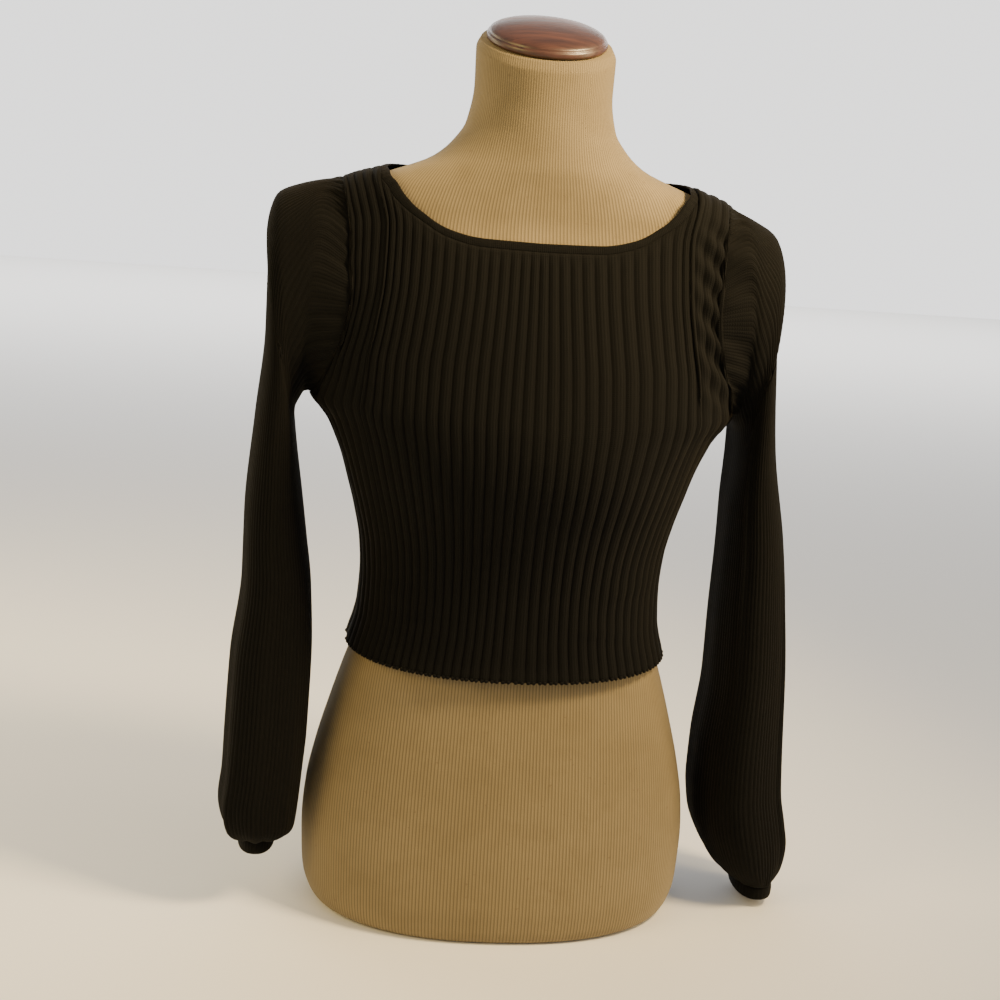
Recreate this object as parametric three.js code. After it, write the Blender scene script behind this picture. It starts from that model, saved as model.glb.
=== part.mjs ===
// A cropped rib-knit top with balloon sleeves, on the limbless dress form that it rests on.
// Millimetres, +Z up. The origin is the centre of the form's flat base, the chest faces -Y,
// and the sleeve named right is the one at +X.
import * as THREE from "three";

// Driving sizes
const WALL = 1.3; // thickness of the knitted cloth between two ribs
const RIB_HEIGHT = 1.5; // how far a rib stands above the cloth
const SEAM = 0.5; // gap between two sewn pieces
const NECK_SEAM = 1.2; // gap below the neckband, measured straight down
const SLEEVE_SEAM = 1.0; // gap between a sleeve and its armhole, whose seam is puckered
const BODY_RIBS = 38; // ribs across the front, and again across the back
const SLEEVE_RIBS = 30; // ribs round one sleeve
const HEM_SCALLOP = 2.2; // how far each rib's end hangs below the hem
const NECK_TILT = THREE.MathUtils.degToRad(20); // the top of the neck leans to the front
const NECK_TOP = 758;
const NECK_BEND = 690; // below this height the neck is level
const RIGHT = 90; // degrees round the body from the front centre

// The dress form, one row for each level: height, half width, depth to the front, depth to the back
const FORM_LEVELS = [
  [0, 156, 117, 112],
  [4, 163, 121, 117],
  [12, 168, 123, 121],
  [25, 172, 123, 124],
  [42, 173.5, 121, 126],
  [70, 174.5, 117, 127],
  [100, 172.5, 112, 126],
  [135, 166, 106, 122],
  [180, 154, 98.5, 111],
  [210, 145, 94, 104],
  [240, 135.5, 91, 97.5],
  [270, 129.5, 89.5, 92.5],
  [300, 127.5, 90, 90],
  [330, 129, 94, 90],
  [360, 134, 103, 92],
  [390, 140, 116, 95],
  [420, 146, 122.2, 99],
  [445, 151, 119, 102],
  [470, 159, 111, 104],
  [500, 174, 101, 104],
  [530, 189, 91, 100],
  [560, 202, 80, 93],
  [580, 207, 72, 86],
  [595, 207, 65.5, 78],
  [604, 202.5, 61.5, 72.5],
  [613, 194.5, 59.5, 68.5],
  [621, 182, 59, 66],
  [629, 165, 58.5, 64],
  [637, 148, 58.3, 63],
  [643, 131, 58.2, 62],
  [652, 107, 58.5, 61.5],
  [658, 93, 58, 61],
  [664, 84, 57.5, 60],
  [672, 75.5, 57, 59],
  [690, 63.5, 56.5, 57.5],
  [720, 58.5, 55.5, 56],
  [750, 59, 55.5, 56],
  [NECK_TOP, 55.5, 52, 52.5],
];

// The inside of the cloth on the body: height, half width, depth to the front, depth to the back
const CLOTH_LEVELS = [
  [224, 147, 102, 111],
  [232, 142.5, 99, 107],
  [242, 139.5, 96.5, 103],
  [255, 135.5, 95.5, 99.5],
  [270, 132.5, 95, 97.5],
  [300, 131, 96, 95.5],
  [330, 133, 101, 96],
  [360, 139, 109, 98],
  [385, 146, 118, 101],
  [405, 152, 123, 103],
  [420, 158, 124, 104.5],
  [440, 168, 122, 106],
  [458, 183, 117.5, 107.5],
  [480, 188, 111, 108],
  [500, 189, 105, 107.5],
  [530, 195, 95, 103.5],
  [560, 205, 84, 97],
  [580, 210, 76, 90],
  [597, 211.5, 70, 82],
  [607, 208.5, 66.5, 77],
  [616, 201.5, 64.5, 73],
  [624, 189.5, 63.5, 70],
  [632, 172.5, 63, 68],
  [640, 154, 62.5, 66.5],
  [646, 134.5, 62, 65.5],
  [655, 109.5, 61.5, 64.5],
];

// The neckline: degrees round from the front centre, height of its edge, drop to the band's seam
const NECKLINE = [
  [0, 595, 7.8],
  [11, 596.2, 7.7],
  [17.9, 601.2, 7.3],
  [26.3, 614.7, 6.6],
  [34.7, 626.5, 5.8],
  [46.7, 637.5, 4.6],
  [65, 645, 3.4],
  [90, 649, 2.8],
  [115, 650, 3.2],
  [135, 650, 4],
  [155, 650, 5.6],
  [180, 650, 7],
];

// The armhole from the shoulder tip down the front to the armpit: degrees from the side, height
const ARMHOLE_FRONT = [
  [0, 636.4],
  [22, 632],
  [37.7, 620],
  [45.1, 600],
  [45.1, 570],
  [44, 545],
  [39.8, 520],
  [32.2, 490],
  [22.7, 470],
  [12.3, 460],
  [0, 457],
];

// The half width that the ribs of a panel spread over above the waist: height, half width
const RIB_FIELD = [
  [385, 146],
  [420, 151],
  [458, 154],
  [490, 153],
  [520, 149.5],
  [560, 146.5],
  [600, 148],
  [636.4, 159],
];

// The sleeves, one row for each ring: the outer edge, the inner edge, half the depth, the centre's y
const RIGHT_SLEEVE = [
  [175, 629.5, 189.5, 457, 64, 2],
  [190, 623, 192, 450, 64, 2],
  [208, 611.5, 196, 440, 62, 2],
  [214.5, 588, 196.5, 428, 60, 1],
  [211, 556, 196, 418, 59, 0],
  [214.5, 510, 195, 404, 58, 0],
  [222.5, 435, 192.5, 374, 56, 0],
  [239.5, 350, 192, 322, 53, 0],
  [247, 296, 191.5, 280, 52, 0],
  [254, 219, 192, 214, 52.5, 0],
  [258.5, 152, 187, 150, 54, 0],
  [261.5, 114, 186.5, 113, 55, 0],
  [268, 84, 189.5, 84, 54, 0],
  [272, 60, 198, 60, 51, 0],
  [272, 38, 211, 38, 44, 0],
  [266, 20, 234, 20, 34, 0],
];
const LEFT_SLEEVE = [
  [179, 632.5, 189.5, 457, 64, 2],
  [197, 628, 194, 450, 64, 2],
  [217, 618, 198, 440, 62, 0],
  [223.5, 590, 198.5, 428, 60, -2],
  [221.5, 556, 197, 418, 59, -4],
  [221.5, 510, 195, 405, 58, -6],
  [227.5, 437, 190, 376, 56, -10],
  [233.5, 352, 182.5, 328, 53, -15],
  [233.5, 300, 176.5, 288, 52, -18],
  [241, 228, 173, 225, 52.5, -21],
  [243.5, 162, 174, 161, 54, -24],
  [244.5, 124, 176.5, 124, 55, -25],
  [247, 96, 178.5, 96, 53, -25],
  [243, 76, 181, 76, 49, -25],
  [236, 67, 189, 67, 41, -25],
  [228, 63.5, 199, 63.5, 34, -25],
];

// Soft folds down a sleeve: degrees round from its outer edge over the front, ridge height,
// half width in degrees, and the rings where each begins and is full
const RIGHT_FOLDS = [
  [28, 4.5, 13, 5, 11],
  [64, -4, 14, 4, 10],
  [103, 4, 16, 4, 10],
  [148, -3.5, 15, 5, 11],
  [205, 3.5, 16, 4, 11],
  [248, -4, 16, 4, 10],
  [292, 4.5, 15, 4, 10],
  [332, -3.5, 13, 5, 11],
];
const LEFT_FOLDS = [
  [22, -3.5, 13, 4, 11],
  [52, 4, 14, 5, 11],
  [96, -3.5, 16, 4, 9],
  [140, 4, 15, 5, 12],
  [190, -3, 14, 6, 12],
  [232, 4, 16, 4, 11],
  [280, -4, 15, 4, 10],
  [325, 4, 14, 5, 11],
];

const SECTION_POWER = 2.3; // a section is squarer than an ellipse, whose power is 2
const HEM_HEIGHT = 230; // at the front and back centres
const HEM_RISE = 8; // how much higher the hem is at the side seams
const CUFF_HEIGHT = 11.5;
const CUFF_WALL = 2; // at the middle of its height, where the band is thickest
const NECK_FAN = 1.5; // how much closer the ribs stand at the middle of the neckline than at its ends
const BAND_CROWN = 0.7; // the neckband's middle stands this much above its edges

// The levels of a panel's rows along its ribs, from 0 at the hem to 1 at the top
const PANEL_LEVELS = [0, 0.04, 0.12, 0.22, 0.33, 0.44, 0.55, 0.66, 0.75, 0.83, 0.9, 0.955, 1];

const degrees = THREE.MathUtils.degToRad;
const smooth = THREE.MathUtils.smoothstep;

// A smooth curve through a table's rows, as a function of the first column. Its slopes are
// limited so that it never overshoots a row.
function curveThrough(rows) {
  const width = rows[0].length;
  const steps = rows.slice(1).map((row, i) => {
    const span = row[0] - rows[i][0];
    return row.map((value, k) => (value - rows[i][k]) / span);
  });
  const slopes = rows.map((_, i) => {
    if (i === 0) return steps[0];
    if (i === rows.length - 1) return steps[i - 1];
    return steps[i].map((next, k) => {
      const before = steps[i - 1][k];
      return before * next <= 0 ? 0 : (2 * before * next) / (before + next);
    });
  });
  return (at) => {
    const place = THREE.MathUtils.clamp(at, rows[0][0], rows[rows.length - 1][0]);
    let i = 0;
    while (i < rows.length - 2 && place > rows[i + 1][0]) i++;
    const span = rows[i + 1][0] - rows[i][0];
    const t = (place - rows[i][0]) / span;
    const values = [];
    for (let k = 1; k < width; k++) {
      values.push(
        rows[i][k] * (1 + 2 * t) * (1 - t) ** 2 +
          slopes[i][k] * span * t * (1 - t) ** 2 +
          rows[i + 1][k] * t * t * (3 - 2 * t) +
          slopes[i + 1][k] * span * t * t * (t - 1),
      );
    }
    return values;
  };
}

const signedPower = (value, power) => Math.sign(value) * Math.abs(value) ** power;

// A point on a levelled body: angle in degrees from the front centre towards +X, and height
function bodyPoint(levels, angle, height, power = SECTION_POWER) {
  const [half, front, back] = levels(height);
  const across = Math.sin(degrees(angle));
  const along = Math.cos(degrees(angle));
  const depth = along > 0 ? front : back;
  return new THREE.Vector3(
    half * signedPower(across, 2 / power),
    -depth * signedPower(along, 2 / power),
    height,
  );
}

const formLevels = curveThrough(FORM_LEVELS);
const clothLevels = curveThrough(CLOTH_LEVELS);
const neckline = curveThrough(NECKLINE);

const clothPoint = (angle, height) => bodyPoint(clothLevels, angle, height);

// The way out of the cloth at a point of the body
function clothNormal(angle, height) {
  const step = 0.4;
  const side = THREE.MathUtils.clamp(Math.abs(angle % 180), 1, 179) * Math.sign(angle || 1);
  const round = Math.abs(angle) < 1 ? angle : side + 180 * Math.trunc(angle / 180);
  const around = clothPoint(round + step, height).sub(clothPoint(round - step, height));
  const up = clothPoint(round, height + step).sub(clothPoint(round, height - step));
  const out = around.cross(up).normalize();
  if (Math.abs(Math.cos(degrees(angle))) < 1e-6) out.y = 0;
  return out.normalize();
}

// A mesh's geometry from its points and its triangles
function geometryOf(points, triangles) {
  const geometry = new THREE.BufferGeometry();
  geometry.setAttribute(
    "position",
    new THREE.Float32BufferAttribute(points.flatMap((p) => [p.x, p.y, p.z]), 3),
  );
  geometry.setIndex(triangles);
  geometry.computeVertexNormals();
  return geometry;
}

// Triangles between two rows of points whose places along the edge are given
function joinRows(first, firstPlaces, second, secondPlaces, triangles) {
  let i = 0;
  let j = 0;
  while (i < first.length - 1 || j < second.length - 1) {
    const firstEnds = i === first.length - 1;
    if (!firstEnds && (j === second.length - 1 || firstPlaces[i + 1] <= secondPlaces[j + 1])) {
      triangles.push(first[i], first[i + 1], second[j]);
      i++;
    } else {
      triangles.push(first[i], second[j + 1], second[j]);
      j++;
    }
  }
}

// Two triangles between four points in order round a square, split along the shorter diagonal
function addSquare(points, triangles, a, b, c, d) {
  if (points[a].distanceTo(points[c]) <= points[b].distanceTo(points[d])) triangles.push(a, b, c, a, c, d);
  else triangles.push(a, b, d, b, c, d);
}

// A cloth wall: a ribbed outer grid over a plain inner one with fewer columns. Rows run from
// the bottom to the top and columns anticlockwise seen from above. A closed wall is a tube.
function clothWall(outerColumns, innerColumns, rows, outerPoint, innerPoint, closed) {
  const points = [];
  const triangles = [];
  const layer = (columns, pointAt) =>
    rows.map((row, r) => {
      const own = columns.slice(0, closed ? -1 : undefined).map((column) => {
        points.push(pointAt(column, row, r));
        return points.length - 1;
      });
      return closed ? [...own, own[0]] : own;
    });
  const outer = layer(outerColumns, outerPoint);
  const inner = layer(innerColumns, innerPoint);
  for (let r = 0; r + 1 < rows.length; r++) {
    for (let c = 0; c + 1 < outerColumns.length; c++) {
      addSquare(points, triangles, outer[r][c], outer[r][c + 1], outer[r + 1][c + 1], outer[r + 1][c]);
    }
    for (let c = 0; c + 1 < innerColumns.length; c++) {
      addSquare(points, triangles, inner[r][c], inner[r + 1][c], inner[r + 1][c + 1], inner[r][c + 1]);
    }
  }
  const top = rows.length - 1;
  joinRows(inner[0], innerColumns, outer[0], outerColumns, triangles);
  joinRows(outer[top], outerColumns, inner[top], innerColumns, triangles);
  if (!closed) {
    const last = [outerColumns.length - 1, innerColumns.length - 1];
    const firstOuter = outer.map((row) => row[0]);
    const firstInner = inner.map((row) => row[0]);
    const lastOuter = outer.map((row) => row[last[0]]);
    const lastInner = inner.map((row) => row[last[1]]);
    joinRows(firstOuter, rows, firstInner, rows, triangles);
    joinRows(lastInner, rows, lastOuter, rows, triangles);
  }
  return geometryOf(points, triangles);
}

// Shares of half a panel's ribs that end at the neckline, then at the shoulder seam
const HALF_RIBS = BODY_RIBS / 2;
const NECK_SHARE = 13 / HALF_RIBS;
const SHOULDER_SHARE = 15 / HALF_RIBS;
const SHOULDER_TIP = ARMHOLE_FRONT[0][1];

// The neckline's seam with a panel, from the centre to the shoulder, in small steps
function neckSeamPath(back) {
  const path = [];
  let length = 0;
  for (let step = 0; step <= RIGHT; step++) {
    const angle = back ? 180 - step : step;
    const [edge, drop] = neckline(angle);
    const point = clothPoint(angle, edge - drop - NECK_SEAM);
    if (step > 0) length += point.distanceTo(path[step - 1].point);
    path.push({ point, length, angle, height: edge - drop - NECK_SEAM });
  }
  return path;
}
const neckSeams = { front: neckSeamPath(false), back: neckSeamPath(true) };

// The seam's angle and height at a share of its length. The ribs are narrower at the centre.
function neckSeam(share, back) {
  const path = back ? neckSeams.back : neckSeams.front;
  const target = path[RIGHT].length * Math.min(1, share) ** NECK_FAN;
  let i = 0;
  while (i < RIGHT - 1 && path[i + 1].length < target) i++;
  const t = Math.min(1, (target - path[i].length) / (path[i + 1].length - path[i].length));
  return [
    THREE.MathUtils.lerp(path[i].angle, path[i + 1].angle, t),
    THREE.MathUtils.lerp(path[i].height, path[i + 1].height, t),
  ];
}

const armholePath = new THREE.SplineCurve(
  ARMHOLE_FRONT.map(([side, height]) => new THREE.Vector2(side, height)),
);

// The armhole's edge as an angle round the body and a height, from the shoulder tip at 0 to the
// armpit at 1
function armhole(share, back) {
  const place = armholePath.getPointAt(Math.min(1, share) ** 0.8);
  return [back ? RIGHT + place.x : RIGHT - place.x, place.y];
}

// Where a rib ends at the top of a panel. The rib's share runs from 0 at the centre to 1 at the side.
function panelTop(share, back) {
  if (share <= NECK_SHARE) return neckSeam(share / NECK_SHARE, back);
  if (share <= SHOULDER_SHARE) {
    const start = neckSeam(1, back)[1];
    const along = (share - NECK_SHARE) / (SHOULDER_SHARE - NECK_SHARE);
    return [RIGHT, THREE.MathUtils.lerp(start, SHOULDER_TIP, along)];
  }
  return armhole((share - SHOULDER_SHARE) / (1 - SHOULDER_SHARE), back);
}

const hemHeight = (share) => HEM_HEIGHT + HEM_RISE * share ** 2;

// Where a rib starts at the hem: half evenly round it, half evenly as seen from the front
function hemAngle(share) {
  const seenEven = THREE.MathUtils.radToDeg(Math.asin(share ** (SECTION_POWER / 2)));
  return (RIGHT * share + seenEven) / 2;
}

// The angle from the front or back centre where the cloth is a given distance from the middle
const angleAt = (x, height) =>
  THREE.MathUtils.radToDeg(Math.asin(Math.min(1, x / clothLevels(height)[0]) ** (SECTION_POWER / 2)));
const widthAt = (angle, height) => Math.abs(clothPoint(angle, height).x);

const ribField = curveThrough(RIB_FIELD);
const armholeReach = curveThrough(
  ARMHOLE_FRONT.map(([side, height]) => [height, widthAt(RIGHT - side, height)]).reverse(),
);

// How far from the middle the ribs spread at a height: to the side seam and the armhole for the
// outermost rib, and over a smoother field for those within
function ribReach(share, height) {
  const widest = clothLevels(height)[0];
  const edge = height < ARMHOLE_FRONT[ARMHOLE_FRONT.length - 1][1] ? widest : armholeReach(height)[0];
  const field = height < RIB_FIELD[0][0] ? widest : ribField(height)[0];
  return THREE.MathUtils.lerp(field, edge, share ** 6);
}

// The line of a rib from the hem to the panel's top, as angles, heights and lengths so far
const RIB_STEPS = 70;
function ribLine(share, back) {
  const [endAngle, endHeight] = panelTop(share, back);
  const startHeight = hemHeight(share);
  const startShare = widthAt(hemAngle(share), startHeight) / ribReach(share, startHeight);
  const endShare = widthAt(endAngle, endHeight) / ribReach(share, endHeight);
  const line = [];
  for (let step = 0; step <= RIB_STEPS; step++) {
    const t = 1 - (1 - step / RIB_STEPS) ** 2;
    const height = THREE.MathUtils.lerp(startHeight, endHeight, t);
    const x = ribReach(share, height) * THREE.MathUtils.lerp(startShare, endShare, t ** 1.3);
    const round = share === 1 && t < 1 ? RIGHT : angleAt(x, height);
    const angle = step === RIB_STEPS ? endAngle : back ? 180 - round : round;
    const point = clothPoint(angle, height);
    const length = step === 0 ? 0 : line[step - 1].length + point.distanceTo(line[step - 1].point);
    line.push({ point, length, angle, height });
  }
  return line;
}

// The angle and height of a rib's share from -1 to 1 at a level from 0 at the hem to 1 at the top
const ribLines = { front: new Map(), back: new Map() };
function panelPlace(share, level, back) {
  const half = Math.min(1, Math.abs(share));
  const lines = back ? ribLines.back : ribLines.front;
  if (!lines.has(half)) lines.set(half, ribLine(half, back));
  const line = lines.get(half);
  const target = level * line[RIB_STEPS].length;
  let i = 0;
  while (i < RIB_STEPS - 1 && line[i + 1].length < target) i++;
  const t = Math.min(1, (target - line[i].length) / (line[i + 1].length - line[i].length));
  const angle = THREE.MathUtils.lerp(line[i].angle, line[i + 1].angle, t);
  const height = THREE.MathUtils.lerp(line[i].height, line[i + 1].height, t);
  return [share < 0 ? -angle : angle, height];
}

// Columns across a panel, counted in ribs: two for each rib, and four where it ends at an armhole
function panelColumns() {
  const columns = [];
  for (let rib = 0; rib < BODY_RIBS; rib++) {
    const parts = Math.abs(rib + 0.5 - HALF_RIBS) > SHOULDER_SHARE * HALF_RIBS ? 4 : 2;
    for (let k = 0; k < parts; k++) columns.push(rib + k / parts);
  }
  return [...columns, BODY_RIBS];
}

// The height of a rib over the cloth, counted in ribs: 0 in the channels and 1 on the crest
const ribAt = (ribs) => Math.sin(Math.PI * (ribs - Math.floor(ribs))) ** 0.8;

// The front, or the back: a rib-knit panel from the hem to the neckband, shoulders and armholes
function panel(back) {
  const outerColumns = panelColumns();
  const innerColumns = outerColumns.filter(
    (ribs) => Number.isInteger(ribs) || Math.abs(ribs - HALF_RIBS) > SHOULDER_SHARE * HALF_RIBS,
  );
  const away = back ? SEAM / 2 : -SEAM / 2;
  const placed = (ribs, level) => {
    const share = ((ribs - HALF_RIBS) / HALF_RIBS) * (back ? -1 : 1);
    const [angle, height] = panelPlace(share, level, back);
    const point = clothPoint(angle, height);
    point.y += away;
    return [point, clothNormal(angle, height)];
  };
  const outer = (ribs, level) => {
    const [point, out] = placed(ribs, level);
    if (level === 0) point.z -= HEM_SCALLOP * ribAt(ribs);
    const endsAtArmhole = Math.abs(ribs - HALF_RIBS) > SHOULDER_SHARE * HALF_RIBS;
    const fade = 1 - smooth(level, endsAtArmhole ? 0.7 : 0.93, endsAtArmhole ? 0.96 : 1);
    return point.addScaledVector(out, WALL + RIB_HEIGHT * ribAt(ribs) * fade);
  };
  const inner = (ribs, level) => placed(ribs, level)[0];
  return clothWall(outerColumns, innerColumns, PANEL_LEVELS, outer, inner, false);
}

// The neckband: a plain knitted band all round the neckline, with a column at each rib's edge
function neckband() {
  const half = 26;
  const steps = Array.from({ length: 2 * half }, (_, c) => c - half);
  const column = (step, back) => ({ share: Math.abs(step) / half, side: Math.sign(step), back });
  const columns = [
    ...steps.map((step) => column(step, false)),
    ...steps.map((step) => column(-step, true)),
  ];
  const places = [...columns.keys(), columns.length];
  const placed = (place, row) => {
    const { share, side, back } = columns[place % columns.length];
    const [seamAngle] = neckSeam(share, back);
    const [edge, drop] = neckline(seamAngle);
    const angle = side < 0 ? -seamAngle : seamAngle;
    return [clothPoint(angle, edge - drop * (1 - row)), clothNormal(angle, edge - drop * (1 - row))];
  };
  const outer = (place, row) => {
    const [point, out] = placed(place, row);
    return point.addScaledVector(out, row === 0.5 ? WALL + BAND_CROWN : WALL);
  };
  const innerPlaces = places.filter((place) => place % 2 === 0);
  return clothWall(places, innerPlaces, [0, 0.5, 1], outer, (place, row) => placed(place, row)[0], true);
}

// A point of the armhole's edge on the +X side, a turn in degrees from the shoulder tip over the
// front. It follows the panels' own edge, which is straight between their columns.
function armholeEdge(turn) {
  const back = turn > 180;
  const steps = (HALF_RIBS - SHOULDER_SHARE * HALF_RIBS) * 4;
  const place = ((back ? 360 - turn : turn) / 180) * steps;
  const before = Math.min(Math.floor(place + 1e-9), steps - 1);
  const [first, second] = [before, before + 1].map((step) => armhole(step / steps, back));
  const t = place - before;
  return {
    point: clothPoint(...first).lerp(clothPoint(...second), t),
    out: clothNormal(...first).lerp(clothNormal(...second), t).normalize(),
  };
}

// How far a sleeve's soft folds lift the cloth at a ring and a turn
function foldLift(folds, ring, turn, last) {
  let lift = 0;
  for (const [at, ridge, width, begins, full] of folds) {
    const apart = THREE.MathUtils.euclideanModulo(turn - at + 180, 360) - 180;
    lift += ridge * Math.exp(-((apart / width) ** 2)) * smooth(ring, begins, full);
  }
  return lift * (1 - smooth(ring, last - 2.5, last));
}

// The inside of a sleeve: rings from the armhole down to the cuff, each with its turns
function sleeveGrid(table, folds, turns) {
  const rings = table.map(([outerX, outerZ, innerX, innerZ, halfDepth, centreY], r) => {
    const centre = new THREE.Vector3((outerX + innerX) / 2, centreY, (outerZ + innerZ) / 2);
    const across = new THREE.Vector3((outerX - innerX) / 2, 0, (outerZ - innerZ) / 2);
    return turns.map((turn) => {
      const cos = signedPower(Math.cos(degrees(turn)), 2 / SECTION_POWER);
      const sin = signedPower(Math.sin(degrees(turn)), 2 / SECTION_POWER);
      const lift = foldLift(folds, r, turn, table.length - 1);
      const out = new THREE.Vector3(cos * halfDepth, -sin * across.length(), 0).normalize();
      return centre
        .clone()
        .addScaledVector(across, cos)
        .add(new THREE.Vector3(out.x * lift, out.y * lift - sin * halfDepth, 0));
    });
  });
  const count = turns.length;
  const edge = turns.map(armholeEdge);
  const seam = edge.map(({ point, out }, c) => {
    const along = edge[(c + 1) % count].point.clone().sub(edge[(c + count - 1) % count].point).normalize();
    const into = out.clone().cross(along).normalize();
    const faces = along.clone().cross(rings[0][c].clone().sub(point)).normalize();
    const push = SLEEVE_SEAM + WALL * Math.max(0, -faces.dot(into));
    return point.clone().addScaledVector(into, push);
  });
  return [seam, ...rings];
}

// A rib-knit balloon sleeve of the +X side, or its mirror image on the other side
function sleeve(table, folds, mirrored) {
  const count = 2 * SLEEVE_RIBS;
  const turns = Array.from({ length: count }, (_, c) => (360 * c) / count);
  const grid = sleeveGrid(table, folds, turns);
  const last = grid.length - 1;
  const outward = (ring, c) => {
    const around = grid[ring][(c + 1) % count].clone().sub(grid[ring][(c + count - 1) % count]);
    const down = grid[Math.min(ring + 1, last)][c].clone().sub(grid[Math.max(ring - 1, 0)][c]);
    const out = around.cross(down);
    if (ring === last) out.z = 0;
    return out.normalize();
  };
  const columns = [...turns.keys(), count];
  const ringNumbers = [...grid.keys()];
  const outer = (c, ring) => {
    const fade = smooth(ring, 0, 1.5) * (1 - smooth(ring, last - 1.5, last));
    const rib = c % 2 === 1 ? RIB_HEIGHT * fade : 0;
    return grid[ring][c].clone().addScaledVector(outward(ring, c), WALL + rib);
  };
  const innerColumns = columns.filter((c) => c % 3 === 0);
  const geometry = clothWall(columns, innerColumns, ringNumbers, outer, (c, ring) => grid[ring][c], true);
  return mirrored ? mirrorImage(geometry) : geometry;
}

// The same solid on the other side of the body
function mirrorImage(geometry) {
  geometry.scale(-1, 1, 1);
  const index = geometry.getIndex();
  for (let i = 0; i < index.count; i += 3) {
    const second = index.getX(i + 1);
    index.setX(i + 1, index.getX(i + 2));
    index.setX(i + 2, second);
  }
  geometry.computeVertexNormals();
  return geometry;
}

// The narrow knitted band that draws a sleeve's end in, below the sleeve's last ring
function cuff(table, mirrored) {
  const [outerX, top, innerX, , halfDepth, centreY] = table[table.length - 1];
  const turns = Array.from({ length: 41 }, (_, c) => 9 * c);
  const halfWidth = (outerX - innerX) / 2;
  const rows = [0, 0.5, 1];
  const at = (turn, row, wall) =>
    new THREE.Vector3(
      (outerX + innerX) / 2 + (halfWidth + wall) * signedPower(Math.cos(degrees(turn)), 2 / SECTION_POWER),
      centreY - (halfDepth + wall) * signedPower(Math.sin(degrees(turn)), 2 / SECTION_POWER),
      top - SEAM - CUFF_HEIGHT * row,
    );
  const outer = (turn, row) => at(turn, row, row === 0.5 ? CUFF_WALL : WALL);
  const innerTurns = turns.filter((_, c) => c % 2 === 0);
  const geometry = clothWall(turns, innerTurns, rows, outer, (turn, row) => at(turn, row, 0), true);
  return mirrored ? mirrorImage(geometry) : geometry;
}

// The dress form: one smooth closed body from its flat base to the top of the neck
function dressForm() {
  const count = 26;
  const points = [];
  const triangles = [];
  const levels = FORM_LEVELS.map(([height]) => height);
  for (const height of levels) {
    const bend = Math.tan(NECK_TILT) * smooth(height, NECK_BEND - 26, NECK_TOP - 8);
    const power = THREE.MathUtils.lerp(SECTION_POWER, 2, smooth(height, 600, 680));
    for (let c = 0; c < count; c++) {
      const point = bodyPoint(formLevels, (360 * c) / count, height, power);
      point.z += bend * point.y;
      points.push(point);
    }
  }
  const bottom = points.push(new THREE.Vector3(0, 0, 0)) - 1;
  const top = points.push(new THREE.Vector3(0, 0, NECK_TOP)) - 1;
  for (let c = 0; c < count; c++) {
    const next = (c + 1) % count;
    for (let r = 0; r + 1 < levels.length; r++) {
      const [a, b] = [r * count + c, r * count + next];
      triangles.push(a, b, b + count, a, b + count, a + count);
    }
    const rim = (levels.length - 1) * count;
    triangles.push(bottom, next, c, top, rim + c, rim + next);
  }
  return geometryOf(points, triangles);
}

// The turned wooden cap that closes the neck
function neckCap() {
  const profile = [
    [0, 0],
    [49, 0],
    [51, 1.5],
    [51, 5],
    [48.5, 8.5],
    [42, 11.5],
    [30, 14],
    [15, 15.5],
    [0, 16],
  ].map(([radius, height]) => new THREE.Vector2(radius, height));
  return new THREE.LatheGeometry(profile, 32);
}

const cloth = () => new THREE.MeshStandardMaterial({ color: 0x15110e, roughness: 0.92, metalness: 0 });
const jersey = new THREE.MeshStandardMaterial({ color: 0xc8ae7c, roughness: 0.85, metalness: 0 });
const wood = new THREE.MeshStandardMaterial({ color: 0x3a2016, roughness: 0.45, metalness: 0 });

const group = new THREE.Group();
function add(name, geometry, material) {
  const mesh = new THREE.Mesh(geometry, material);
  mesh.name = name;
  group.add(mesh);
  return mesh;
}

add("dress_form", dressForm(), jersey);
const cap = add("neck_cap", neckCap().rotateX(Math.PI / 2), wood);
cap.rotation.x = NECK_TILT;
cap.position.set(0, 0, NECK_TOP + SEAM);
add("front", panel(false), cloth());
add("back", panel(true), cloth());
add("neckband", neckband(), cloth());
add("sleeve_right", sleeve(RIGHT_SLEEVE, RIGHT_FOLDS, false), cloth());
add("sleeve_left", sleeve(LEFT_SLEEVE, LEFT_FOLDS, true), cloth());
add("cuff_right", cuff(RIGHT_SLEEVE, false), cloth());
add("cuff_left", cuff(LEFT_SLEEVE, true), cloth());

export default group;
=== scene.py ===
import math

import bmesh
import bpy
import numpy as np
from mathutils import Matrix, Vector


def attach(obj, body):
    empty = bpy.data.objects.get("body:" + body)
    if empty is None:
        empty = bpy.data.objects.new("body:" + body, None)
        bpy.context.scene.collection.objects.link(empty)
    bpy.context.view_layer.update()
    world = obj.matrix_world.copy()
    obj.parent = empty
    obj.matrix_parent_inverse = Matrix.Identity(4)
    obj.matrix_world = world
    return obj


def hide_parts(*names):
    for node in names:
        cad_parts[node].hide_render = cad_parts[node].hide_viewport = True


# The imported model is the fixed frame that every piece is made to. Nothing on it moves, so
# all pieces ride on one body.
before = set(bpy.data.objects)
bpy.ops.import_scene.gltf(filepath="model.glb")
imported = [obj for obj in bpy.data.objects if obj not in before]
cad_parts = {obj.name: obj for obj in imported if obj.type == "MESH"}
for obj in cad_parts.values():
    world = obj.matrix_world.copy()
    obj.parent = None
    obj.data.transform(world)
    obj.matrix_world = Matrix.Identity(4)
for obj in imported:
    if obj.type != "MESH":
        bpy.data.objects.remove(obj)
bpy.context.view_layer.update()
WHOLE = "root"

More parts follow.
